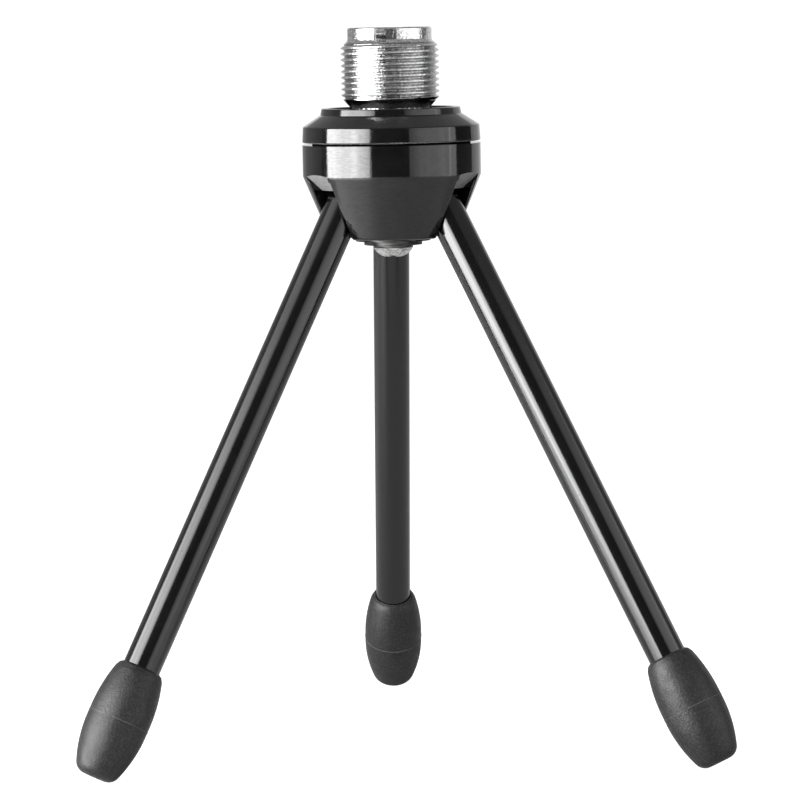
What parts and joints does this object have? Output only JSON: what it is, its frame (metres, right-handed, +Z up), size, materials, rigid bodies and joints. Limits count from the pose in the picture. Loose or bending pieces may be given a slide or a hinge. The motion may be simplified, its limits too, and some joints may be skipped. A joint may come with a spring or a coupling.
{
  "type": "desktop mic stand",
  "caption": "Folding tripod desktop stand for a microphone: chrome male mic thread on a round glossy hub, slim tubular legs on hinge pins, and barrel-shaped rubber feet.",
  "frame": {"origin": "on the floor plane that the feet stand on, straight below the hub's axis", "axes": "+Z up along the hub and the mic thread; +Y towards the rear leg; +X to the right, so the left and right legs point to 210 and 330 degrees"},
  "size_m": [0.1036, 0.0909, 0.1168],
  "materials": {
    "hub_plastic": "glossy",
    "chrome": "polished",
    "zinc_steel": "zinc plated",
    "black_steel": "black oxide",
    "gloss_black_paint": "gloss enamel",
    "foot_rubber": "matt, fine grained"
  },
  "bodies": {
    "hub": {"hub_body": "hub_plastic", "top_cap": "hub_plastic", "center_stud": "zinc_steel", "stud_nut": "black_steel", "spread_washer": "zinc_steel", "screw_washer": "zinc_steel", "clamp_screw": "zinc_steel", "left_hinge_pin": "zinc_steel", "right_hinge_pin": "zinc_steel", "rear_hinge_pin": "zinc_steel"},
    "adapter": {"mic_adapter": "chrome"},
    "left_leg": {"left_leg_tube": "gloss_black_paint", "left_hinge_plug": "gloss_black_paint", "left_rubber_foot": "foot_rubber"},
    "right_leg": {"right_leg_tube": "gloss_black_paint", "right_hinge_plug": "gloss_black_paint", "right_rubber_foot": "foot_rubber"},
    "rear_leg": {"rear_leg_tube": "gloss_black_paint", "rear_hinge_plug": "gloss_black_paint", "rear_rubber_foot": "foot_rubber"}
  },
  "joints": [
    {"name": "adapter_unscrew", "type": "slide", "parent": "hub", "child": "adapter", "axis": [0, 0, 1], "range_m": [0, 0.0125]},
    {"name": "left_leg_fold", "type": "hinge", "parent": "hub", "child": "left_leg", "pos_m": [-0.00829, -0.00479, 0.0875], "axis": [0.5, -0.866, 0], "range_deg": [0, 30]},
    {"name": "right_leg_fold", "type": "hinge", "parent": "hub", "child": "right_leg", "pos_m": [0.00829, -0.00479, 0.0875], "axis": [0.5, 0.866, 0], "range_deg": [0, 30]},
    {"name": "rear_leg_fold", "type": "hinge", "parent": "hub", "child": "rear_leg", "pos_m": [0, 0.00957, 0.0875], "axis": [-1, 0, 0], "range_deg": [0, 30]}
  ]
}
